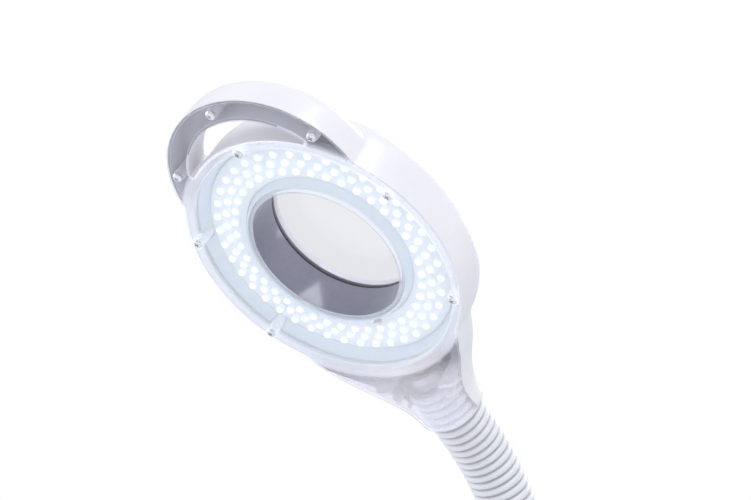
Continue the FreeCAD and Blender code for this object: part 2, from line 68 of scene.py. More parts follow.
# Sizes in millimetres, in the head's axes
HOUSING_R = 86.0
REAR_Z = 37.0
REAR_EDGE_R = 12.5
WALL = 1.6
COVER_T = 2.0
PAD_Z = 5.3
MOUTH_R = 46.0
RECESS_R = 81.0
COVER_R = 85.2
VOXEL = 1.3              # grain of the mesh that joins disc, loop and neck
LOOP_Y = -52.5
LOOP_R = 62.5
LOOP_BAND = 13.3
LOOP_TOP = 24.4
LOOP_STRETCH = (1.035, 0.962, 1)
COLLAR_START = 74.0
NECK_END = 136.0
NECK_SECTIONS = [(58, 60, 32), (72, 53.5, 34.5), (85, 45.5, 37), (97, 36.5, 39),
                 (109, 28.5, 40.2), (121, 22.8, 40.8), (NECK_END, 20.0, 41)]
LENS_R = 50.0
LENS_Z = 36.1
LENS_EDGE = 2.2
LED_ROWS = (58.3, 64.1, 69.9)
LEDS_PER_ROW = 40
LED_R = 2.5
LED_TIP_Z = 9.0
BOARD_Z = 13.2
BOARD_T = 1.6
LEAD_HOLE_Y = 53.4
BOARD_SCREWS = (0, 117, 243)
RING_SCREWS = [(80.3, 0), (80.3, 66), (80.3, 120), (80.3, -120), (80.3, -66)]
HANDLE_SCREWS = [(106.6, 0), (93.2, 34), (93.2, -34)]
SLEEVE_R = 17.9
VALLEY_R = 16.0
SLEEVE_BORE = 12.7
LINK = 43.2
RIB = LINK / 7.5
BEND_R = 165.0
BEND_START_Z = 252.0
BASE_R = 105.0
INLET_Z = 13.0


def polar(r, angle):
    """Place at an angle from the handle's direction, in the head's axes."""
    a = math.radians(angle)
    return r * math.sin(a), -r * math.cos(a)


def ease(t):
    t = min(1.0, max(0.0, t))
    return t * t * (3 - 2 * t)


# ---------------------------------------------------------------------------
# Modelling
# ---------------------------------------------------------------------------
def clear_selection():
    if bpy.context.object and bpy.context.object.mode != "OBJECT":
        bpy.ops.object.mode_set(mode="OBJECT")
    bpy.ops.object.select_all(action="DESELECT")


def pick(*objects):
    clear_selection()
    for o in objects:
        o.select_set(True)
    bpy.context.view_layer.objects.active = objects[0]


def edit(o):
    pick(o)
    bpy.ops.object.mode_set(mode="EDIT")
    bpy.ops.mesh.select_mode(type="VERT")


def select_where(o, test, domain="VERT"):
    """In edit mode, select the vertices or faces whose place passes a test."""
    bpy.ops.mesh.select_mode(type=domain)
    bpy.ops.mesh.select_all(action="DESELECT")
    bpy.ops.object.mode_set(mode="OBJECT")
    items = o.data.vertices if domain == "VERT" else o.data.polygons
    for item in items:
        place = item.co if domain == "VERT" else item.center
        item.select = bool(test(place / MM, item.normal))
    bpy.ops.object.mode_set(mode="EDIT")


def start_point(name, place):
    """A piece of one vertex, in edit mode."""
    clear_selection()
    bpy.ops.mesh.primitive_plane_add(size=MM)
    bpy.context.object.name = name
    bpy.ops.object.mode_set(mode="EDIT")
    bpy.ops.mesh.select_mode(type="VERT")
    bpy.ops.mesh.select_all(action="SELECT")
    bpy.ops.mesh.merge(type="CENTER")
    bpy.ops.transform.translate(value=Vector(place) * MM)
    return bpy.context.object


def draw_line(places):
    """Extrude the selected vertex through places, from the first."""
    for here, there in zip(places, places[1:]):
        step = (Vector(there) - Vector(here)) * MM
        bpy.ops.mesh.extrude_region_move(TRANSFORM_OT_translate={"value": step})


def close_up():
    """Merge doubles and turn every face outwards."""
    bpy.ops.mesh.select_all(action="SELECT")
    bpy.ops.mesh.remove_doubles(threshold=MERGE)
    bpy.ops.mesh.delete_loose(use_verts=True, use_edges=True, use_faces=False)
    bpy.ops.mesh.select_all(action="SELECT")
    bpy.ops.mesh.normals_make_consistent(inside=False)
    bpy.ops.object.mode_set(mode="OBJECT")


def rounded(corners, steps=4):
    """Closed outline whose corners (a, b, radius) are rounded."""
    out = []
    for i, corner in enumerate(corners):
        here = Vector(corner[:2])
        radius = corner[2] if len(corner) > 2 else 0.0
        if not radius:
            out.append(tuple(here))
            continue
        a = (Vector(corners[i - 1][:2]) - here).normalized()
        b = (Vector(corners[(i + 1) % len(corners)][:2]) - here).normalized()
        half = a.angle(b) / 2
        reach = radius / math.tan(half)
        centre = here + (a + b).normalized() * (radius / math.sin(half))
        first = here + a * reach - centre
        turn = first.angle_signed(here + b * reach - centre)
        for k in range(steps + 1):
            c, s = math.cos(-turn * k / steps), math.sin(-turn * k / steps)
            out.append((centre.x + first.x * c - first.y * s, centre.y + first.x * s + first.y * c))
    return out


def turned(name, outline, steps=96, middle=(0, 0), closed=True):
    """A piece turned about z from an outline of (r, z)."""
    places = [(middle[0] + r, middle[1], z) for r, z in outline]
    o = start_point(name, places[0])
    draw_line(places + places[:1] if closed else places)
    bpy.ops.mesh.select_all(action="SELECT")
    bpy.ops.mesh.spin(steps=steps, angle=TURN, axis=(0, 0, 1),
                      center=(middle[0] * MM, middle[1] * MM, 0))
    close_up()
    return o


def box(name, x0, x1, y0, y1, z0, z1, bevel=0.0):
    """A block with eased edges."""
    clear_selection()
    size = Vector((x1 - x0, y1 - y0, z1 - z0)) * MM
    middle = Vector((x0 + x1, y0 + y1, z0 + z1)) * MM / 2
    bpy.ops.mesh.primitive_cube_add(size=1, location=middle, scale=size)
    o = bpy.context.object
    o.name = name
    bpy.ops.object.transform_apply()
    if bevel:
        add(o, "BEVEL", width=bevel * MM, segments=3)
    return o


def rod(name, r, z0, z1, x=0.0, y=0.0, along="Z", vertices=48):
    """A cylinder used as a cutter; along Y it runs from z0 to z1 in y, at height y."""
    clear_selection()
    middle = (x * MM, y * MM, (z0 + z1) / 2 * MM)
    turn = (0, 0, 0)
    if along == "Y":
        middle = (x * MM, (z0 + z1) / 2 * MM, y * MM)
        turn = (-math.pi / 2, 0, 0)
    bpy.ops.mesh.primitive_cylinder_add(radius=r * MM, depth=(z1 - z0) * MM, vertices=vertices,
                                        location=middle, rotation=turn)
    o = bpy.context.object
    o.name = name
    bpy.ops.object.transform_apply()
    return o


def add(o, kind, **settings):
    """Add a modifier and apply it."""
    pick(o)
    modifier = o.modifiers.new(kind.lower(), kind)
    for key, value in settings.items():
        setattr(modifier, key, value)
    bpy.ops.object.modifier_apply(modifier=modifier.name)
    return o


def combine(o, others, operation="DIFFERENCE"):
    """Cut, join or keep common with other pieces, which are used up."""
    for other in others:
        add(o, "BOOLEAN", object=other, operation=operation, solver="EXACT")
        bpy.data.objects.remove(other)
    edit(o)
    bpy.ops.mesh.select_all(action="SELECT")
    bpy.ops.mesh.remove_doubles(threshold=MERGE)
    bpy.ops.object.mode_set(mode="OBJECT")
    return o


def copies(o, places):
    """The piece moved to each place, with copies that become part of it."""
    group = []
    for place in places:
        pick(o)
        bpy.ops.object.duplicate()
        bpy.ops.transform.translate(value=Vector(place) * MM)
        group.append(bpy.context.object)
    name = o.name
    bpy.data.objects.remove(o)
    pick(*group)
    if len(group) > 1:
        bpy.ops.object.join()
    joined = bpy.context.object
    joined.name = name
    pick(joined)
    bpy.ops.object.transform_apply()
    return joined


def settle(o, place, finish, body, stands_for=(), angle=32, name=None):
    """Lay a piece in its place, smooth it, give it its finish and its body."""
    if name:
        o.name = name
    o.data.name = o.name
    pick(o)
    o.matrix_world = place @ o.matrix_world
    bpy.ops.object.transform_apply(location=True, rotation=True, scale=True)
    bpy.ops.object.shade_smooth_by_angle(angle=math.radians(angle))
    o.data.materials.clear()
    o.data.materials.append(finish)
    if body:
        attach(o, body)
    if stands_for:
        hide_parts(*stands_for)
    return o


# ---------------------------------------------------------------------------
# Finishes
# ---------------------------------------------------------------------------
class Value:
    """A shader value that can be used in Python sums."""

    def __init__(self, finish, socket):
        self.finish, self.socket = finish, socket

    def sum(self, operation, *others, flip=False):
        terms = [self, *others]
        if flip:
            terms.reverse()
        return self.finish.node("ShaderNodeMath", {"operation": operation}, dict(enumerate(terms)))

    def __add__(self, other):
        return self.sum("ADD", other)

    def __radd__(self, other):
        return self.sum("ADD", other)

    def __sub__(self, other):
        return self.sum("SUBTRACT", other)

    def __rsub__(self, other):
        return self.sum("SUBTRACT", other, flip=True)

    def __mul__(self, other):
        return self.sum("MULTIPLY", other)

    def __rmul__(self, other):
        return self.sum("MULTIPLY", other)

    def between(self, low, high):
        """0 below low, 1 above high, smooth in between."""
        return self.finish.node("ShaderNodeMapRange", {"interpolation_type": "SMOOTHSTEP"},
                                {"Value": self, "From Min": low, "From Max": high})


class Finish:
    """A material that is being put together."""

    def __init__(self, name):
        self.material = bpy.data.materials.new(name)
        self.material.use_nodes = True
        self.tree = self.material.node_tree
        self.tree.nodes.clear()

    def node(self, kind, settings=None, values=None, out=0):
        n = self.tree.nodes.new(kind)
        for key, value in (settings or {}).items():
            setattr(n, key, value)
        for key, value in (values or {}).items():
            if isinstance(value, Value):
                self.tree.links.new(value.socket, n.inputs[key])
            else:
                n.inputs[key].default_value = value
        return Value(self, n.outputs[out])

    def place(self, stretch=(1, 1, 1), head=False):
        """Where a point is on the piece, in metres; head=True gives the head's own axes."""
        co = self.node("ShaderNodeTexCoord", out="Object")
        if head:
            # a point mapping turns first and then shifts
            turn = HEAD.to_3x3().inverted()
            co = self.node("ShaderNodeMapping", {"vector_type": "POINT"},
                           {"Vector": co, "Rotation": turn.to_euler("XYZ"),
                            "Location": -(turn @ HEAD_CENTRE)})
        if tuple(stretch) != (1, 1, 1):
            co = self.node("ShaderNodeMapping", {"vector_type": "POINT"}, {"Vector": co, "Scale": stretch})
        return co

    def noise(self, size, co=None, detail=3.0):
        """Cloudy pattern whose patches are about size millimetres across."""
        return self.node("ShaderNodeTexNoise", None,
                         {"Vector": co or self.place(), "Scale": 1 / (size * MM),
                          "Detail": detail, "Roughness": 0.55})

    def blend(self, share, a, b):
        """Colour a where share is 0 and b where it is 1."""
        return self.node("ShaderNodeMix", {"data_type": "RGBA"}, {0: share, 6: a, 7: b}, out=2)

    def bump(self, height, depth):
        return self.node("ShaderNodeBump", None,
                         {"Height": height, "Distance": depth * MM, "Strength": 1.0})

    def grazing(self, normal=None):
        """Share of light that a clear surface throws back: little square on, most at a grazing angle."""
        values = {"Blend": 0.5}
        if normal:
            values["Normal"] = normal
        facing = self.node("ShaderNodeLayerWeight", None, values, out="Facing")
        return facing.sum("POWER", 5.0) * 0.9 + 0.04

    def surface(self, **values):
        """The main shader; words are its sockets' names with _ for a space."""
        return self.node("ShaderNodeBsdfPrincipled", None,
                         {k.replace("_", " "): v for k, v in values.items()})

    def done(self, shader):
        out = self.tree.nodes.new("ShaderNodeOutputMaterial")
        self.tree.links.new(shader.socket, out.inputs["Surface"])
        return self.material


def rgba(r, g, b):
    return (r, g, b, 1.0)


def moulded(name, colour, shade, roughness=0.35, grain=0.02, coat=0.0):
    """Moulded plastic: faint flow marks in the colour, fine grain and a few duller patches."""
    f = Finish(name)
    cloud = f.noise(38, detail=4)
    specks = f.noise(1.6, detail=2)
    tone = (cloud * 0.75 + specks * 0.25).between(0.32, 0.72)
    dull = f.noise(14, detail=5).between(0.35, 0.75)
    skin = f.noise(0.5, detail=2)
    values = {"Base_Color": f.blend(tone, rgba(*colour), rgba(*shade)),
              "Roughness": roughness + (dull - 0.5) * 0.1,
              "Normal": f.bump(skin, grain),
              "Specular_IOR_Level": 0.5}
    if coat:
        values["Coat_Weight"] = coat
        values["Coat_Roughness"] = 0.12
    return f.done(f.surface(**values))


def brushed(name, colour, shade, roughness=0.3, streak=(1, 1, 1), depth=0.01):
    """Bare metal with fine drawn lines and duller handling marks."""
    f = Finish(name)
    lines = f.noise(0.6, f.place(streak), detail=3)
    marks = f.noise(6, detail=4).between(0.4, 0.7)
    values = {"Base_Color": f.blend(marks, rgba(*colour), rgba(*shade)),
              "Metallic": 1.0,
              "Roughness": roughness + (lines - 0.5) * 0.2 + marks * 0.08,
              "Normal": f.bump(lines, depth)}
    return f.done(f.surface(**values))


def rubber(name, colour, shade, roughness=0.7):
    f = Finish(name)
    dust_and_shade = f.noise(9, detail=5).between(0.45, 0.8)
    skin = f.noise(0.35, detail=3)
    return f.done(f.surface(Base_Color=f.blend(dust_and_shade, rgba(*colour), rgba(*shade)),
                            Roughness=roughness + (skin - 0.5) * 0.2,
                            Normal=f.bump(skin, 0.03), Specular_IOR_Level=0.35))


def clear_plastic(name):
    """Clear moulded cover: glossy and a little milky, with a painted glow (emission) standing in for lamp
    light scattered in it: bluish over the lamps, lighter over the neck and in a painted highlight band round
    the lamp disc.
    """
    f = Finish(name)
    co = f.place(head=True)
    flat = f.node("ShaderNodeVectorMath", {"operation": "MULTIPLY"}, {0: co, 1: (1, 1, 0)})
    radius = f.node("ShaderNodeVectorMath", {"operation": "LENGTH"}, {0: flat}, out="Value")
    over_lamps = 1 - radius.between(0.0795, 0.0815)
    along = f.node("ShaderNodeSeparateXYZ", None, {0: co}, out="Y")
    over_neck = along.between(0.076, 0.094)
    streaks = f.noise(16, f.place((1, 0.4, 1)), detail=4)
    # rim: band round the lamp disc that gets a painted highlight, from more milk and a lighter painted glow
    rim = radius.between(0.0785, 0.0805) * (1 - radius.between(0.0860, 0.0890))
    # milk: share of the cloudy shader, whose emission is painted glow; raised over the lamps, the rim band
    # and the neck, which paints them lighter
    milk = 0.06 + over_lamps * 0.15 + rim * 0.30 + over_neck * 0.22 + streaks * 0.06
    # painted glow: emission colours of the cloudy shader, lighter over the neck and the rim band and bluish
    # over the lamps
    painted_glow = f.blend(over_neck, rgba(0.40, 0.40, 0.46), rgba(0.56, 0.53, 0.56))
    painted_glow = f.blend(rim, painted_glow, rgba(0.72, 0.73, 0.78))
    painted_glow = f.blend(over_lamps, painted_glow, rgba(0.70, 0.74, 0.77))
    # cloudy surface, bluish over the lamps, whose emission is the painted glow
    haze_and_glow = f.surface(Base_Color=f.blend(over_lamps, rgba(0.86, 0.86, 0.93), rgba(0.84, 0.90, 0.94)),
                     Roughness=0.4, Specular_IOR_Level=0.2, Emission_Color=painted_glow, Emission_Strength=1.0)
    glow = f.node("ShaderNodeBsdfTranslucent", None, {"Color": rgba(0.92, 0.95, 0.98)})
    cloudy = f.node("ShaderNodeMixShader", None, {0: 0.5, 1: haze_and_glow, 2: glow})
    clear = f.node("ShaderNodeBsdfTransparent", None, {"Color": rgba(0.965, 0.97, 0.985)})
    body = f.node("ShaderNodeMixShader", None, {0: milk, 1: clear, 2: cloudy})
    ripples = f.bump(f.noise(22, detail=1), 0.06)
    shine = f.node("ShaderNodeBsdfGlossy", None, {"Roughness": 0.06, "Normal": ripples})
    return f.done(f.node("ShaderNodeMixShader", None, {0: f.grazing(ripples), 1: body, 2: shine}))


def lens_glass(name):
    """Polished lens with a faint grey body and a thin film of dust."""
    f = Finish(name)
    film = f.noise(9, detail=5).between(0.45, 0.8)
    clear = f.node("ShaderNodeBsdfTransparent", None, {"Color": rgba(0.925, 0.93, 0.945)})
    dust_and_shade = f.surface(Base_Color=rgba(0.85, 0.86, 0.9), Roughness=0.5)
    body = f.node("ShaderNodeMixShader", None, {0: 0.015 + film * 0.02, 1: clear, 2: dust_and_shade})
    shine = f.node("ShaderNodeBsdfGlossy", None, {"Roughness": 0.02})
    return f.done(f.node("ShaderNodeMixShader", None, {0: f.grazing(), 1: body, 2: shine}))


def lamp_dome(name):
    """Lit lamp: brightest near its tip, fading to its rim."""
    f = Finish(name)
    depth = f.node("ShaderNodeSeparateXYZ", None, {0: f.place(head=True)}, out="Z")
    tip = 1 - depth.between((LED_TIP_Z + 0.4) * MM, (LED_TIP_Z + 2.0) * MM)
    glow = f.blend(tip, rgba(0.16, 0.18, 0.19), rgba(1.0, 1.0, 1.0))
    return f.done(f.surface(Base_Color=rgba(0.63, 0.67, 0.69), Roughness=0.25,
                            Emission_Color=glow, Emission_Strength=1.35))


def white_board(name):
    """Lamp board: white solder mask with rings of bright pads."""
    f = Finish(name)
    co = f.place(head=True)
    cells = f.node("ShaderNodeTexVoronoi", {"feature": "F1"}, {"Vector": co, "Scale": 420.0}, out="Distance")
    pads = 1 - cells.between(0.2, 0.28)
    tone = f.noise(11, detail=3)
    base = f.blend(tone, rgba(0.79, 0.80, 0.81), rgba(0.73, 0.75, 0.77))
    return f.done(f.surface(Base_Color=f.blend(pads * 0.35, base, rgba(0.84, 0.84, 0.85)),
                            Roughness=0.38 - pads * 0.1, Normal=f.bump(pads, 0.02)))


def soft_sleeve(name):
    """Soft white plastic, with painted shade darkening its grooves, broken up a little by cloudy noise."""
    f = Finish(name)
    groove = f.node("ShaderNodeAttribute", {"attribute_name": "groove"}, out="Fac")
    cloud = f.noise(9, detail=4)
    dust_and_shade = (groove + (cloud - 0.5) * 0.4).between(0.25, 1.0)
    skin = f.noise(0.8, detail=2)
    # the darker grey in the grooves is painted shade
    return f.done(f.surface(Base_Color=f.blend(dust_and_shade, rgba(0.74, 0.75, 0.78), rgba(0.48, 0.49, 0.53)),
                            Roughness=0.42 + dust_and_shade * 0.15, Normal=f.bump(skin, 0.03)))


WHITE = dict(colour=(0.80, 0.80, 0.83), shade=(0.755, 0.755, 0.79))
finish = {
    "white_housing": moulded("white moulded plastic", **WHITE, roughness=0.34, grain=0.012, coat=0.15),
    "clear_cover": clear_plastic("clear moulded plastic"),
    "lens_glass": lens_glass("polished lens"),
    # dark grey-violet: painted shade on the bore's wall
    "grey_barrel": moulded("glossy grey plastic", (0.30, 0.30, 0.37), (0.24, 0.24, 0.31), roughness=0.2,
                           grain=0.006, coat=0.5),
    # dark grey seam strip: painted shadow standing for the shadow in the gap along the parting line
    "grey_seam": rubber("grey seam strip", (0.32, 0.32, 0.36), (0.38, 0.38, 0.42)),
    "black_seal": rubber("black seal rubber", (0.012, 0.012, 0.014), (0.03, 0.03, 0.034)),
    "white_trim": moulded("white trim plastic", (0.93, 0.93, 0.95), (0.9, 0.9, 0.93), roughness=0.3),
    # the dish is white plastic; its darker blue-grey colour is painted bluish shade
    "tray_white": moulded("gloss white dish", (0.56, 0.61, 0.67), (0.50, 0.56, 0.62), roughness=0.25,
                          grain=0.005, coat=0.3),
    "board_white": white_board("white lamp board"),
    "led_dome": lamp_dome("lit lamp dome"),
    "screw_steel": brushed("plated screw steel", (0.84, 0.84, 0.87), (0.70, 0.70, 0.74), 0.36),
    "wire_red": moulded("red wire cover", (0.42, 0.045, 0.03), (0.33, 0.03, 0.025), roughness=0.42,
                         grain=0.02),
    "wire_black": moulded("brown wire cover", (0.10, 0.045, 0.03), (0.06, 0.03, 0.02), roughness=0.42,
                           grain=0.02),
    "switch_shell": moulded("white switch shell", (0.76, 0.76, 0.79), (0.70, 0.70, 0.74), roughness=0.3),
    "rocker_white": moulded("white rocker", (0.82, 0.82, 0.84), (0.77, 0.77, 0.80), roughness=0.26),
    "sleeve_white": soft_sleeve("soft white sleeve"),
    "core_metal": brushed("cast zinc core", (0.46, 0.47, 0.49), (0.34, 0.35, 0.37), 0.45, depth=0.03),
    "nut_brass": brushed("turned brass", (0.58, 0.26, 0.16), (0.42, 0.17, 0.11), 0.32),
    "ferrule_steel": brushed("ferrule steel", (0.60, 0.60, 0.62), (0.46, 0.46, 0.49), 0.3),
    "base_white": moulded("white base plastic", **WHITE, roughness=0.38, grain=0.02, coat=0.1),
    "iron_weight": brushed("cast iron", (0.10, 0.10, 0.105), (0.16, 0.12, 0.10), 0.6, depth=0.12),
    "plate_steel": brushed("zinc plate", (0.55, 0.56, 0.57), (0.43, 0.44, 0.46), 0.35, streak=(6, 0.3, 1)),
    "pad_rubber": rubber("foot rubber", (0.02, 0.02, 0.022), (0.05, 0.05, 0.052), 0.8),
    "inlet_black": moulded("black inlet plastic", (0.018, 0.018, 0.02), (0.03, 0.03, 0.033), roughness=0.4),
    "board_green": moulded("green circuit board", (0.02, 0.12, 0.05), (0.015, 0.09, 0.04), roughness=0.35,
                           grain=0.03),
    "silver": brushed("bright pin", (0.75, 0.75, 0.76), (0.62, 0.62, 0.64), 0.22),
}

clear_selection()

# every CAD part gets its finish first; new pieces take over some of them below
for node in frame["nodes"].values():
    slot_name = node.data.materials[0].name.split(".")[0]
    node.data.materials.clear()
    node.data.materials.append(finish[slot_name])

# ---------------------------------------------------------------------------
# Head: one outside form, parted into the white housing and the clear cover
# ---------------------------------------------------------------------------
PARTING_Y = 76.0         # from here the parting line climbs to the middle of the neck's end
PARTING_RISE = 19.0 / 65.0
SEAM = 0.14              # half width of the gap along the parting line


def curve_through(points, y):
    """Smooth value at y through points of (y, value)."""
    for i, ((y0, v0), (y1, v1)) in enumerate(zip(points, points[1:])):
        if y <= y1:
            break
    before = points[max(i - 1, 0)]
    after = points[min(i + 2, len(points) - 1)]
    h = y1 - y0
    m0 = (v1 - before[1]) / (y1 - before[0])
    m1 = (after[1] - v0) / (after[0] - y0)
    t = (y - y0) / h
    return ((2 * t**3 - 3 * t**2 + 1) * v0 + (t**3 - 2 * t**2 + t) * h * m0
            + (3 * t**2 - 2 * t**3) * v1 + (t**3 - t**2) * h * m1)


def collar_share(y):
    """How far the neck's front corners have rounded into a collar: 0 at the disc, 1 at its end."""
    return ease((y - COLLAR_START) / (NECK_END - COLLAR_START))


def neck_half(y):
    return curve_through([(s[0], s[1]) for s in NECK_SECTIONS], y)


def neck_rear(y):
    return curve_through([(s[0], s[2]) for s in NECK_SECTIONS], y)


def neck_section(name, y, low, inset=0.0, front_radius=0.0):
    """Face across the neck at y, with rounded corners, left in edit mode."""
    half, rear = neck_half(y) - inset, neck_rear(y) - inset
    radius = min(half - 0.4, 17.5, (rear - low) / 2 - 0.2)
    clear_selection()
    bpy.ops.mesh.primitive_plane_add(size=MM, location=(0, y * MM, (low + rear) / 2 * MM),
                                     rotation=(math.pi / 2, 0, 0))
    o = bpy.context.object
    o.name = name
    o.scale = (2 * half, rear - low, 1)
    bpy.ops.object.transform_apply()
    edit(o)
    middle = (low + rear) / 2
    select_where(o, lambda p, n: p.z > middle)
    bpy.ops.mesh.bevel(offset=radius * MM, segments=9, affect="VERTICES", offset_type="OFFSET")
    if front_radius:
        select_where(o, lambda p, n: p.z < low + 0.01)
        bpy.ops.mesh.bevel(offset=front_radius * MM, segments=9, affect="VERTICES", offset_type="OFFSET")
    bpy.ops.mesh.select_all(action="SELECT")
    return o


def neck_solid(first=50.0, inset=0.0):
    """The neck, bridged through sections whose front corners round into a collar at its end."""
    last, count = NECK_END - inset, 22
    sections = []
    for k in range(count + 1):
        y = first + (last - first) * k / count
        share = collar_share(y)
        o = neck_section("section", max(y, NECK_SECTIONS[0][0]), 1.0 * share + inset, inset,
                         max(0.8 + 17.0 * share - inset, 0.5))
        bpy.ops.mesh.delete(type="ONLY_FACE")
        bpy.ops.mesh.select_all(action="SELECT")
        bpy.ops.transform.translate(value=(0, min(0, y - NECK_SECTIONS[0][0]) * MM, 0))
        sections.append(o)
    pick(*sections)
    bpy.ops.object.join()
    o = bpy.context.object
    edit(o)
    bpy.ops.mesh.select_mode(type="EDGE")
    bpy.ops.mesh.select_all(action="SELECT")
    bpy.ops.mesh.bridge_edge_loops(type="SINGLE")
    for end in (first, last):
        select_where(o, lambda p, n: abs(p.y - end) < 0.01)
        bpy.ops.mesh.edge_face_add()
    close_up()
    return o


def arc(centre, r, a0, a1, steps):
    """Points of an arc from angle a0 to a1, in degrees from the r axis."""
    out = []
    for k in range(steps + 1):
        a = math.radians(a0 + (a1 - a0) * k / steps)
        out.append((centre[0] + r * math.cos(a), centre[1] + r * math.sin(a)))
    return out


def head_form():
    """The head's outside as one closed solid, with its joins softened."""
    rear_corner = arc((HOUSING_R - REAR_EDGE_R, REAR_Z - REAR_EDGE_R), REAR_EDGE_R, 0, 84, 12)
    disc = turned("disc", [(0, 0), (HOUSING_R - 0.8, 0), (HOUSING_R - 0.7, COVER_T)]
                  + rear_corner + [(56, REAR_Z), (0, REAR_Z)], steps=160)
    inner, half = LOOP_R - LOOP_BAND, LOOP_BAND / 2
    back = arc((inner + half, LOOP_TOP - half), half, 0, 180, 12)
    loop = turned("loop", [(inner, 0), (LOOP_R, 0)] + back, steps=144, middle=(0, LOOP_Y))
    pick(loop)
    bpy.ops.transform.resize(value=LOOP_STRETCH, center_override=(0, LOOP_Y * MM, 0))
    bpy.ops.object.transform_apply()
    neck = neck_solid()
    pick(disc, loop, neck)
    bpy.ops.object.join()
    solid = bpy.context.object
    add(solid, "REMESH", mode="VOXEL", voxel_size=VOXEL * MM)
    add(solid, "SMOOTH", factor=0.5, iterations=6)
    return solid


def parting(y, z, gap):
    """True behind the parting line, moved back by a gap."""
    return z > COVER_T + gap and z > COVER_T + gap + (y - PARTING_Y) * PARTING_RISE


def parted(form, name, gap):
    """The form's skin behind the parting line."""
    pick(form)
    bpy.ops.object.duplicate()
    o = bpy.context.object
    o.name = name
    edit(o)
    for start, slope in ((0.0, 0.0), (PARTING_Y, PARTING_RISE)):
        bpy.ops.mesh.select_all(action="SELECT")
        bpy.ops.mesh.bisect(plane_co=(0, start * MM, (COVER_T + gap) * MM), plane_no=(0, -slope, 1))
    select_where(o, lambda p, n: not parting(p.y, p.z, gap), "FACE")
    bpy.ops.mesh.delete(type="FACE")
    bpy.ops.object.mode_set(mode="OBJECT")
    return o


def prism(name, outline, half_width):
    """A block with an outline of (y, z), as wide to each side of x = 0."""
    o = start_point(name, (-half_width, *outline[0]))
    draw_line([(-half_width, y, z) for y, z in outline + outline[:1]])
    bpy.ops.mesh.select_all(action="SELECT")
    bpy.ops.mesh.remove_doubles(threshold=MERGE)
    bpy.ops.mesh.edge_face_add()
    bpy.ops.mesh.extrude_region_move(TRANSFORM_OT_translate={"value": (2 * half_width * MM, 0, 0)})
    close_up()
    return o


def neck_bore():
    return rod("cut", SLEEVE_R + 0.5, 112, 170, y=NECK_AXIS_Z, along="Y", vertices=64)


def head_housing(form):
    """Thin-walled housing with its lens opening, switch pocket and neck bore."""
    o = parted(form, "housing_shell", SEAM)
    add(o, "SOLIDIFY", thickness=WALL * MM, offset=-1.0)
    lens_hole = rod("cut", LENS_R + 2.6, 20, 60, vertices=128)
    pocket = box("cut", -9.9, 9.9, 71.2, 84.8, 25, 60)
    bezel = box("cut", -11.6, 11.6, 69.5, 86.5, 35.2, 60)
    return combine(o, [lens_hole, neck_bore(), pocket, bezel])


form = head_form()
housing = head_housing(form)


def neck_saddle():
    """Three cross ribs that carry the gooseneck."""
    ribs = []
    for y in (101.0, 110.0, 119.0):
        share = collar_share(y)
        o = neck_section("rib", y, 2.4 + 2.1 * share, inset=WALL, front_radius=0.6 + 15.0 * share)
        bpy.ops.mesh.extrude_region_move(TRANSFORM_OT_translate={"value": (0, 2.4 * MM, 0)})
        close_up()
        bore = rod("cut", SLEEVE_R + 0.35, y - 3, y + 6, y=NECK_AXIS_Z, along="Y", vertices=64)
        slot = box("cut", -SLEEVE_R - 0.35, SLEEVE_R + 0.35, y - 3, y + 6, -5, NECK_AXIS_Z)
        combine(o, [bore, slot])
        add(o, "BEVEL", width=0.3 * MM, segments=2, angle_limit=math.radians(50))
        ribs.append(o)
    pick(*ribs)
    bpy.ops.object.join()
    return bpy.context.object


settle(neck_saddle(), HEAD, finish["white_housing"], "head", name="neck_saddle")


def screw_post(name, r, top, bottom):
    """Hollow post that a cover screw runs into."""
    outline = rounded([(1.3, top, 0.2), (r, top, 0.35), (r, bottom, 0), (1.3, bottom, 0)], 2)
    return turned(name, outline, steps=28)


posts = [copies(screw_post("posts", 3.9, PAD_Z + 0.1, 24), [(*polar(r, a), 0) for r, a in RING_SCREWS]),
         copies(screw_post("posts", 3.3, COVER_T + 0.1, 24), [(*polar(r, a), 0) for r, a in HANDLE_SCREWS]),
         copies(screw_post("posts", 3.2, BOARD_Z + BOARD_T + 1.7, REAR_Z - 2.5),
                [(*polar(LED_ROWS[1], a), 0) for a in BOARD_SCREWS])]
pick(*posts)
bpy.ops.object.join()
settle(bpy.context.object, HEAD, finish["white_housing"], "head", name="screw_posts")


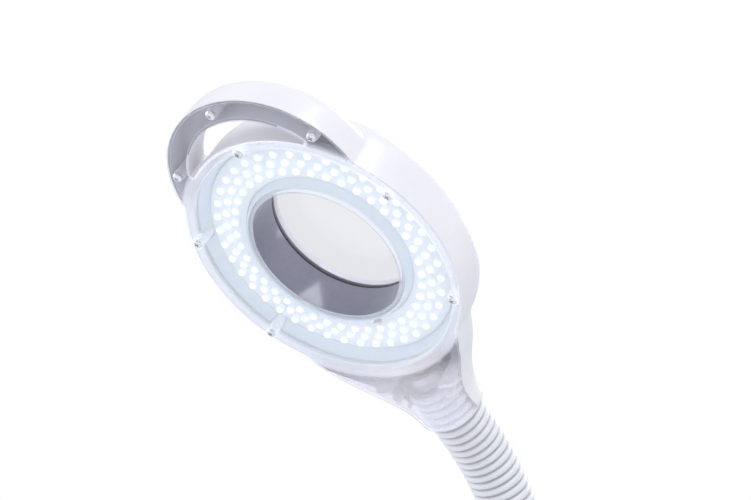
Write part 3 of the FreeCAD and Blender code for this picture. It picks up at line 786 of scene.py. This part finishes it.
# ---------------------------------------------------------------------------
# Head: clear cover and its seam
# ---------------------------------------------------------------------------
def front_cover(form):
    pick(form)
    bpy.ops.object.duplicate()
    plate = bpy.context.object
    level, end = COVER_T - SEAM, 160
    behind = prism("cut", [(-200, level), (PARTING_Y, level), (end, level + (end - PARTING_Y) * PARTING_RISE),
                           (end, 80), (-200, 80)], 120)
    recess = rod("cut", RECESS_R + 0.6, -6, 12, vertices=160)
    combine(plate, [behind, neck_solid(80.0, 1.8), recess, neck_bore()])
    window = turned("window", rounded([
        (RECESS_R, 0.2, 0.0), (RECESS_R + 0.9, -0.5, 0.3), (COVER_R - 1.3, -0.8, 0.5),
        (COVER_R - 0.65, 0.3, 0.3), (COVER_R - 0.7, COVER_T - SEAM - 0.05, 0.3),
        (RECESS_R + 1.0, COVER_T, 0.6), (RECESS_R - 2.0, 5.2, 0.5),
        (MOUTH_R + 3.4, 7.2, 0.4), (MOUTH_R + 2.2, 7.6, 0.4), (MOUTH_R + 2.2, 9.4, 0.3), (MOUTH_R, 9.4, 0.3),
        (MOUTH_R, 7.0, 0.6), (MOUTH_R + 2.5, 5.2, 1.2), (RECESS_R - 0.8, 3.0, 0.6)], 4), steps=160)
    combine(plate, [window], "UNION")
    pad = turned("pad", [(1.7, 0.6), (3.9, 0.6), (3.9, PAD_Z), (1.7, PAD_Z)], steps=32)
    pads = copies(pad, [(*polar(r, a), 0) for r, a in RING_SCREWS])
    places = RING_SCREWS + HANDLE_SCREWS
    for r_cut, top in ((1.75, 12), (3.3, 0.6)):
        holes = [rod("cut", r_cut, -5, top, *polar(r, a), vertices=32) for r, a in places]
        pick(*holes)
        bpy.ops.object.join()
        combine(plate, [bpy.context.object])
    pick(plate, pads)
    bpy.ops.object.join()
    return plate


cover = front_cover(form)
settle(cover, HEAD, finish["clear_cover"], "head", ["front_cover"],
       name="clear_front_cover", angle=28)


def seam_shadow_strip(form):
    """Thin dark strip set back in the gap along the parting line: a painted shadow for the gap."""
    o = parted(form, "seam_shadow_strip", -SEAM)
    edit(o)
    for start, slope in ((0.0, 0.0), (PARTING_Y, PARTING_RISE)):
        bpy.ops.mesh.select_all(action="SELECT")
        bpy.ops.mesh.bisect(plane_co=(0, start * MM, (COVER_T + SEAM) * MM), plane_no=(0, -slope, 1))
    select_where(o, lambda p, n: parting(p.y, p.z, SEAM) or p.xy.length < HOUSING_R + 8 and p.y < 0
                 and (p.xy - Vector((0, LOOP_Y))).length < 56, "FACE")
    bpy.ops.mesh.delete(type="FACE")
    bpy.ops.mesh.select_all(action="SELECT")
    bpy.ops.transform.shrink_fatten(value=-0.35 * MM)
    bpy.ops.object.mode_set(mode="OBJECT")
    add(o, "SOLIDIFY", thickness=1.0 * MM, offset=-1.0)
    return o


settle(seam_shadow_strip(form), HEAD, finish["grey_seam"], "head", name="seam_shadow_strip")
settle(housing, HEAD, finish["white_housing"], "head", ["rear_housing"], angle=40)
bpy.data.objects.remove(form)

# ---------------------------------------------------------------------------
# Head: lens, barrel and light ring
# ---------------------------------------------------------------------------
edge_low, edge_high = LENS_Z - LENS_EDGE / 2, LENS_Z + LENS_EDGE / 2
# its grey finish is painted shade on the bore wall
barrel = turned("barrel_tube", rounded([
    (MOUTH_R + 0.6, 9.6, 0.5), (MOUTH_R + 2.4, 9.6, 0.4), (MOUTH_R + 2.4, edge_low - 4.0, 1.0),
    (LENS_R + 2.3, edge_low - 2.0, 1.0), (LENS_R + 2.3, edge_high + 5.3, 0.5),
    (LENS_R + 0.5, edge_high + 5.3, 0.4),
    (LENS_R + 0.5, edge_low - 0.9, 0.3), (MOUTH_R + 0.6, edge_low - 0.9, 0.3)], 4), steps=160)
settle(barrel, HEAD, finish["grey_barrel"], "head", ["lens_barrel"])

gasket = turned("lens_seal", rounded([
    (MOUTH_R + 0.55, edge_low - 0.85, 0.2), (LENS_R + 0.2, edge_low - 0.85, 0.2),
    (LENS_R + 0.2, edge_low - 0.05, 0.2),
    (MOUTH_R + 0.7, edge_low - 0.2, 0.2)], 3), steps=160)
settle(gasket, HEAD, finish["black_seal"], "head", ["lens_gasket"])


def lens_outline():
    """Half outline of a double-convex lens with eased edges."""
    surface_r = 347.0
    sag = surface_r - math.sqrt(surface_r ** 2 - LENS_R ** 2)
    half = LENS_EDGE / 2
    front, rear = [], []
    for k in range(19):
        r = (LENS_R - 0.3) * k / 18
        rise = half + sag - (surface_r - math.sqrt(surface_r ** 2 - r ** 2))
        front.append((r, LENS_Z - rise))
        rear.append((r, LENS_Z + rise))
    return front + [(LENS_R, LENS_Z - half + 0.3), (LENS_R, LENS_Z + half - 0.3)] + rear[::-1]


settle(turned("lens", lens_outline(), steps=128), HEAD, finish["lens_glass"], "head",
       ["magnifier_lens"])

retainer = turned("lens_ring", rounded([
    (LENS_R - 2.6, edge_high + 0.5, 0.2), (LENS_R + 0.25, edge_high + 0.1, 0.2),
    (LENS_R + 0.25, edge_high + 4.4, 0.5),
    (LENS_R - 1.4, edge_high + 5.2, 0.5), (LENS_R - 2.6, edge_high + 4.6, 0.4)], 3), steps=128)
settle(retainer, HEAD, finish["white_trim"], "head", ["lens_retainer"])

back = BOARD_Z + BOARD_T
tray = turned("lamp_dish", rounded([
    (MOUTH_R + 3.0, 8.2, 0.3), (MOUTH_R + 4.0, 8.2, 0.3), (MOUTH_R + 6.0, back, 0.8), (76.0, back, 0.8),
    (79.4, 6.6, 0.3), (80.4, 6.6, 0.3), (76.9, back + 1.5, 0.8), (MOUTH_R + 3.0, back + 1.5, 0.6)], 4),
    steps=128)


def board_holes():
    """Cutters for the lamp board's screws and for the leads."""
    screws = [rod("cut", 1.4, 5, 30, *polar(LED_ROWS[1], a), vertices=24) for a in BOARD_SCREWS]
    return screws + [rod("cut", 2.4, 8, 30, 0, LEAD_HOLE_Y, vertices=32)]


combine(tray, [rod("cut", 4.5, 0, 30, *polar(r, a)) for r, a in RING_SCREWS] + board_holes())
settle(tray, HEAD, finish["tray_white"], "head", ["light_tray"])

board = turned("lamp_board", rounded([
    (MOUTH_R + 6.4, BOARD_Z, 0.12), (75.6, BOARD_Z, 0.12), (75.6, back - 0.02),
    (MOUTH_R + 6.4, back - 0.02)], 2), steps=128)
combine(board, board_holes())
settle(board, HEAD, finish["board_white"], "head", ["led_board"])


def lamp_ring(r, offset):
    """One row of domed lamps, spun round from the first."""
    dome = [(0, BOARD_Z + 0.05), (LED_R, BOARD_Z + 0.05), (LED_R, LED_TIP_Z + LED_R),
            (LED_R * 0.88, LED_TIP_Z + LED_R * 0.52),
            (LED_R * 0.52, LED_TIP_Z + LED_R * 0.14), (0, LED_TIP_Z)]
    o = turned("lamps", dome, steps=10, closed=False)
    pick(o)
    bpy.ops.transform.translate(value=Vector((*polar(r, offset), 0)) * MM)
    bpy.ops.object.transform_apply()
    edit(o)
    bpy.ops.mesh.select_all(action="SELECT")
    bpy.ops.mesh.spin(steps=LEDS_PER_ROW, angle=TURN, axis=(0, 0, 1), center=(0, 0, 0), dupli=True)
    bpy.ops.mesh.select_all(action="SELECT")
    bpy.ops.mesh.remove_doubles(threshold=0.01 * MM)
    bpy.ops.mesh.normals_make_consistent(inside=False)
    bpy.ops.object.mode_set(mode="OBJECT")
    return o


rows = [lamp_ring(r, 4.5 * (k % 2)) for k, r in enumerate(LED_ROWS)]
pick(*rows)
bpy.ops.object.join()
settle(bpy.context.object, HEAD, finish["led_dome"], "head", ["leds"],
       name="lamp_domes", angle=60)


def cross_screw(name, r_shaft, r_head, h_head, length):
    """Pan-head screw with a cross recess; its head is on the -z side of z = 0."""
    o = turned(name, [(0, -h_head), (r_head * 0.45, -h_head * 0.98), (r_head * 0.78, -h_head * 0.78),
                      (r_head * 0.95, -h_head * 0.42), (r_head, -0.1), (r_head * 0.97, 0), (r_shaft, 0),
                      (r_shaft, length - 1), (r_shaft * 0.5, length), (0, length)], steps=28)
    arm, slot = r_head * 0.52, r_head * 0.12
    across = box("cut", -arm, arm, -slot, slot, -h_head - 1, -h_head * 0.35)
    upright = box("cut", -slot, slot, -arm, arm, -h_head - 1, -h_head * 0.35)
    return combine(o, [across, upright])


settle(copies(cross_screw("ring_screws", 1.25, 2.9, 1.5, 13), [(*polar(r, a), 0.6) for r, a in RING_SCREWS]),
       HEAD, finish["screw_steel"], "head", ["cover_screws"])
settle(copies(cross_screw("grip_screws", 1.25, 2.9, 1.5, 9), [(*polar(r, a), 0.6) for r, a in HANDLE_SCREWS]),
       HEAD, finish["screw_steel"], "head", ["handle_screws"])
settle(copies(cross_screw("lamp_board_screws", 1.0, 2.2, 1.3, 7),
              [(*polar(LED_ROWS[1], a), BOARD_Z) for a in BOARD_SCREWS]),
       HEAD, finish["screw_steel"], "head", ["board_screws"])

# ---------------------------------------------------------------------------
# Head: rocker switch
# ---------------------------------------------------------------------------
SWITCH_Y = 78.0
bezel = box("switch_bezel", -11.4, 11.4, SWITCH_Y - 8.4, SWITCH_Y + 8.4, 35.3, 37.5, bevel=0.6)
combine(bezel, [box("cut", -8.2, 8.2, SWITCH_Y - 5.2, SWITCH_Y + 5.2, 20, 60, bevel=0.5)])
case = box("switch_case", -9.6, 9.6, SWITCH_Y - 6.6, SWITCH_Y + 6.6, 24, 35.4, bevel=0.3)
combine(case, [box("cut", -8.2, 8.2, SWITCH_Y - 5.2, SWITCH_Y + 5.2, 29.5, 60)])
combine(bezel, [case], "UNION")
settle(bezel, HEAD, finish["switch_shell"], "head", ["switch_body"])


def rocker_paddle():
    """Paddle with a dished top: its ends stand up."""
    half, low, side = 7.7, 34.7, 4.7
    top = [(half - 2 * half * k / 12, 37.0 + 1.3 * (1 - 2 * k / 12) ** 2) for k in range(13)]
    outline = [(-half, low), (half, low)] + top
    o = start_point("rocker", (outline[0][0], SWITCH_Y - side, outline[0][1]))
    draw_line([(x, SWITCH_Y - side, z) for x, z in outline + outline[:1]])
    bpy.ops.mesh.select_all(action="SELECT")
    bpy.ops.mesh.remove_doubles(threshold=MERGE)
    bpy.ops.mesh.edge_face_add()
    bpy.ops.mesh.extrude_region_move(TRANSFORM_OT_translate={"value": (0, 2 * side * MM, 0)})
    close_up()
    add(o, "BEVEL", width=0.45 * MM, segments=3, angle_limit=math.radians(40))
    return o


settle(rocker_paddle(), HEAD, finish["rocker_white"], "rocker", ["switch_rocker"],
       name="rocker_paddle")


# ---------------------------------------------------------------------------
# Gooseneck: one soft sleeve, split at the middle of each link
# ---------------------------------------------------------------------------
def neck_line(s):
    """Point of the gooseneck's middle line at a length s above the floor, in the YZ plane."""
    if s <= BEND_START_Z:
        return Vector((0, 0, s))
    a = (s - BEND_START_Z) / BEND_R
    return Vector((0, -BEND_R * (1 - math.cos(a)), BEND_START_Z + BEND_R * math.sin(a)))


BEND_ANGLE = math.pi / 2 - math.atan2(-HEAD_Y.z, HEAD_Y.y)
BEND_END = BEND_START_Z + BEND_R * BEND_ANGLE
JOINT_S = [BEND_END - LINK * (7 - k) for k in range(8)]
HALF_LINK = LINK / 2
NECK_BODIES = ["base"] + [f"link_{k}" for k in range(1, 8)] + ["head"]


def neck_guide():
    """Guide curve along the gooseneck."""
    data = bpy.data.curves.new("guide", "CURVE")
    data.dimensions = "3D"
    spline = data.splines.new("POLY")
    lengths = [4.0 * k for k in range(130)]
    spline.points.add(len(lengths) - 1)
    direction = -HEAD_Y
    for point, s in zip(spline.points, lengths):
        place = neck_line(min(s, BEND_END)) + direction * max(0.0, s - BEND_END)
        point.co = (*(place * MM), 1)
    guide = bpy.data.objects.new("guide", data)
    bpy.context.scene.collection.objects.link(guide)
    return guide


# one rib: (share of its length, share of its height)
RIB_PROFILE = [(0, 0), (0.05, 0.05), (0.11, 0.3), (0.2, 0.66), (0.33, 0.92), (0.5, 1.0),
               (0.67, 0.92), (0.8, 0.66), (0.89, 0.3), (0.95, 0.05)]


def sleeve(name, s0, s1):
    """Ribbed sleeve between two lengths; the ribs are counted from the first link."""
    outline = [(SLEEVE_BORE, s0)]
    for i in range(-8, 80):
        for share, height in RIB_PROFILE:
            z = JOINT_S[0] - HALF_LINK + (i + share) * RIB
            if s0 - 0.01 < z < s1 + 0.01:
                outline.append((VALLEY_R + (SLEEVE_R - VALLEY_R) * height, z))
    outline.append((SLEEVE_BORE, s1))
    o = turned(name, outline, steps=72)
    # how deep each point lies in a groove; the sleeve's finish paints shade from it
    groove = o.data.attributes.new("groove", "FLOAT", "POINT")
    for item, vertex in zip(groove.data, o.data.vertices):
        item.value = (SLEEVE_R - vertex.co.xy.length / MM) / (SLEEVE_R - VALLEY_R)
    return o


guide = neck_guide()
for k, s in enumerate(JOINT_S):
    s0 = s - HALF_LINK - (0 if k else RIB * 6)
    s1 = s + HALF_LINK + (0 if k < 7 else RIB * 4)
    o = sleeve(f"neck_skin_{k + 1}", s0, s1)
    add(o, "CURVE", object=guide, deform_axis="POS_Z")
    parts = [f"neck_sleeve_{k + 1}"] if k < 7 else ["neck_sleeve_head"]
    if k == 0:
        parts.insert(0, "neck_sleeve_base")
    settle(o, BASE, finish["sleeve_white"], None, parts, angle=50)
    a, b = NECK_BODIES[k], NECK_BODIES[k + 1]
    direction = (neck_line(min(s + 1, BEND_END)) - neck_line(min(s, BEND_END) - 1)).normalized() * MM
    middle = neck_line(s) * MM
    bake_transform(o)
bpy.data.objects.remove(guide)

# ---------------------------------------------------------------------------
# Base
# ---------------------------------------------------------------------------
top = arc((BASE_R - 8, 9.0), 8.0, 0, 62, 8)
base_outline = [(BASE_R - 2.4, 2.0), (BASE_R - 0.6, 2.0), (BASE_R, 3.0)] + top
base_outline += [(92, 17.4), (80, 20.6), (68, 23.2), (56, 25.1), (44, 26.3), (33, 27.3), (28.5, 28.4),
                 (25.6, 30.2), (24.1, 32.8), (23.6, 36.0), (19.7, 36.0)]
base_outline += [(21.2, 31.0), (24.4, 27.0), (33, 24.9), (56, 22.7), (80, 18.2), (92, 15.0),
                 (BASE_R - 4.4, 12.6), (BASE_R - 2.4, 8.6)]
base_shell = turned("base_shell", base_outline, steps=160)
combine(base_shell, [rod("cut", 5.2, BASE_R - 15, BASE_R + 5, y=INLET_Z, along="Y")])
settle(base_shell, BASE, finish["base_white"], "base", ["base_cover"], angle=40)

socket_outline = rounded([
    (SLEEVE_BORE, 28.1, 0.2), (19.3, 28.1, 0.2), (19.3, 36.2), (23.2, 36.2, 0.3), (23.2, 39.0, 1.2),
    (21.8, 47.5, 3.0),
    (19.8, 51.9, 0.8), (SLEEVE_R + 0.25, 51.9, 0.3), (SLEEVE_R + 0.25, 38.0), (SLEEVE_BORE, 38.0)], 4)
settle(turned("neck_collar", socket_outline, steps=96), BASE, finish["base_white"], "base",
       ["neck_socket"])

foot_outline = [(0, 0)]
for r in (30, 60, 88):
    foot_outline += [(r, 0), (r, 0.5), (r + 1.2, 0.5), (r + 1.2, 0)]
foot_outline += [(BASE_R - 5.2, 0, 0.4), (BASE_R - 5, 1.45, 0.3), (0, 1.45)]
foot = turned("foot_pad", rounded(foot_outline, 3), steps=128)
combine(foot, [rod("cut", 4.2, -1, 5, *polar(75, 45 + 90 * i), vertices=32) for i in range(4)])
settle(foot, BASE, finish["pad_rubber"], "base", ["base_pad"])


def lay_in_base(o):
    """Turn a piece made about z to run along y, at the inlet's place in the rim."""
    pick(o)
    o.matrix_world = (Matrix.Translation((0, (BASE_R - 12.9) * MM, INLET_Z * MM))
                      @ Matrix.Rotation(-math.pi / 2, 4, "X"))
    bpy.ops.object.transform_apply()
    return o


def power_inlet():
    """Round socket for the lamp's low-voltage plug, turned and then laid along y."""
    outline = rounded([(3.2, 14.2, 0.2), (6.2, 14.2, 0.4), (6.2, 12.9, 0.2), (4.8, 12.9), (4.8, 0.4, 0.3),
                       (0, 0.4), (0, 3.0), (0, 5.0), (3.2, 5.0)], 3)
    return lay_in_base(turned("power_inlet", outline, steps=48))


settle(power_inlet(), BASE, finish["inlet_black"], "base", ["dc_inlet"])
pin = turned("inlet_pin", [(0, 4.6), (1.0, 4.6), (1.0, 12.6), (0.7, 13.3), (0, 13.5)], steps=24)
settle(lay_in_base(pin), BASE, finish["silver"], "base")


# ---------------------------------------------------------------------------
# Floor, light and camera
# ---------------------------------------------------------------------------
def floor():
    clear_selection()
    bpy.ops.mesh.primitive_plane_add(size=8.0, location=(0, 0, -0.0002))
    o = bpy.context.object
    o.name = "floor"
    f = Finish("pale floor")
    tone = f.noise(400, detail=2)
    o.data.materials.append(f.done(f.surface(
        Base_Color=f.blend(tone, rgba(0.84, 0.84, 0.85), rgba(0.80, 0.80, 0.815)), Roughness=0.7)))


def area(name, place, aim, size, watts, colour=(1, 1, 1)):
    data = bpy.data.lights.new(name, "AREA")
    data.size, data.energy, data.color = size, watts, colour
    lamp = bpy.data.objects.new(name, data)
    lamp.location = place
    lamp.rotation_mode = "QUATERNION"
    lamp.rotation_quaternion = (Vector(aim) - Vector(place)).to_track_quat("-Z", "Y")
    bpy.context.scene.collection.objects.link(lamp)


def studio():
    world = bpy.data.worlds.new("studio")
    bpy.context.scene.world = world
    world.use_nodes = True
    tree = world.node_tree
    tree.nodes.clear()
    ray = tree.nodes.new("ShaderNodeLightPath")
    seen = tree.nodes.new("ShaderNodeBackground")
    seen.inputs["Color"].default_value = (1, 1, 1, 1)
    seen.inputs["Strength"].default_value = 1.0
    soft = tree.nodes.new("ShaderNodeBackground")
    soft.inputs["Color"].default_value = (0.93, 0.94, 1.0, 1)
    soft.inputs["Strength"].default_value = 0.72
    mix = tree.nodes.new("ShaderNodeMixShader")
    out = tree.nodes.new("ShaderNodeOutputWorld")
    tree.links.new(ray.outputs["Is Camera Ray"], mix.inputs[0])
    tree.links.new(soft.outputs[0], mix.inputs[1])
    tree.links.new(seen.outputs[0], mix.inputs[2])
    tree.links.new(mix.outputs[0], out.inputs["Surface"])
    centre = HEAD_CENTRE
    area("key", centre + Vector((1.1, -0.5, 1.3)), centre, 0.9, 15)
    area("fill", centre + Vector((-1.3, -0.9, 0.5)), centre, 1.2, 11)
    area("back", centre + Vector((0.2, 1.4, 0.9)), centre, 1.2, 10)
    bpy.context.scene.view_settings.view_transform = "Standard"


LENS_MM = 67.11
CAMERA_ANGLES = (41.53, -14.41)                  # azimuth and elevation, in degrees
CAMERA_FROM_HEAD = (0.5276, -0.5477, -0.1861)    # metres


def camera():
    data = bpy.data.cameras.new("camera")
    data.lens = LENS_MM
    data.sensor_width = 36
    data.clip_start = 0.01
    eye = bpy.data.objects.new("camera", data)
    azimuth, elevation = map(math.radians, CAMERA_ANGLES)
    back = Vector((math.sin(azimuth) * math.cos(elevation), -math.cos(azimuth) * math.cos(elevation),
                   math.sin(elevation)))
    eye.location = HEAD_CENTRE + Vector(CAMERA_FROM_HEAD)
    eye.rotation_mode = "QUATERNION"
    eye.rotation_quaternion = (-back).to_track_quat("-Z", "Y")
    bpy.context.scene.collection.objects.link(eye)
    bpy.context.scene.camera = eye


floor()
studio()
camera()
